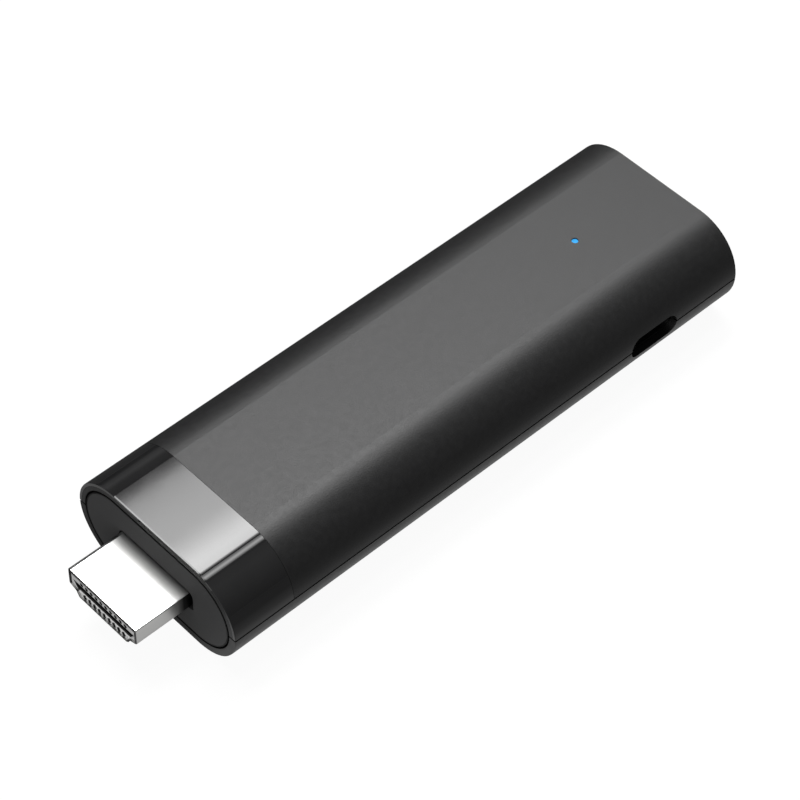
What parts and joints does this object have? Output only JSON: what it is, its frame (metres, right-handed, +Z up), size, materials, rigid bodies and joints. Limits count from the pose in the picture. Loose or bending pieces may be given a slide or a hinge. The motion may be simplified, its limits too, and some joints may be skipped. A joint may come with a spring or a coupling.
{
  "type": "streaming stick",
  "caption": "Flat stadium-section media stick with a metal video plug at one end, a gloss band, a status light, a power socket in one long side and a reset button behind a pinhole.",
  "frame": {"origin": "centre of the overall box, on the flat underside", "axes": "+X along the stick from the video plug to the plain end, +Y away from the side with the power socket, +Z up through the face with the status light"},
  "size_m": [0.1056, 0.032, 0.016],
  "materials": {
    "shell_plastic": "fine matte moulded texture, near black",
    "band_gloss": "polished black",
    "end_plate_plastic": "smooth satin, near black",
    "plug_steel": "bright nickel plate",
    "plug_insulator": "light grey moulded",
    "contact_gold": "gold flash on copper alloy",
    "board_laminate": "solder mask over glass laminate",
    "chip_epoxy": "moulded epoxy",
    "tinned_sheet": "tin plate",
    "pad_silicone": "soft filled silicone",
    "spreader_aluminium": "stamped, satin",
    "socket_steel": "dark plated sheet",
    "socket_plastic": "black moulded",
    "ferrite": "dark ferrite",
    "capacitor_ceramic": "sintered ceramic",
    "light_pipe_clear": "clear pipe tinted by the blue lamp behind it",
    "lamp_resin": "lamp package",
    "screw_steel": "nickel plate",
    "switch_plastic": "black moulded",
    "plunger_plastic": "red moulded"
  },
  "bodies": {
    "stick": {"upper_shell": "shell_plastic", "lower_shell": "shell_plastic", "gloss_band": "band_gloss", "front_end_plate": "end_plate_plastic", "video_plug_shell": "plug_steel", "video_plug_insulator": "plug_insulator", "video_contacts_upper_row": "contact_gold", "video_contacts_lower_row": "contact_gold", "circuit_board": "board_laminate", "board_screws": "screw_steel", "processor": "chip_epoxy", "memory_chips": "chip_epoxy", "shield_frame": "tinned_sheet", "shield_lid": "tinned_sheet", "thermal_pads": "pad_silicone", "heat_spreader": "spreader_aluminium", "storage_chip": "chip_epoxy", "radio_module": "tinned_sheet", "power_inductors": "ferrite", "voltage_regulator": "chip_epoxy", "crystal": "tinned_sheet", "capacitors": "capacitor_ceramic", "aerial_left": "tinned_sheet", "aerial_right": "tinned_sheet", "power_socket_shell": "socket_steel", "power_socket_tongue": "socket_plastic", "power_socket_contacts": "contact_gold", "status_light_pipe": "light_pipe_clear", "status_lamp": "lamp_resin", "reset_switch_body": "switch_plastic"},
    "reset_button": {"reset_plunger": "plunger_plastic"}
  },
  "joints": [
    {"name": "reset_press", "type": "slide", "parent": "stick", "child": "reset_button", "axis": [0, 0, 1], "range_m": [0, 0.00025], "stiffness_N_per_m": 4000}
  ]
}
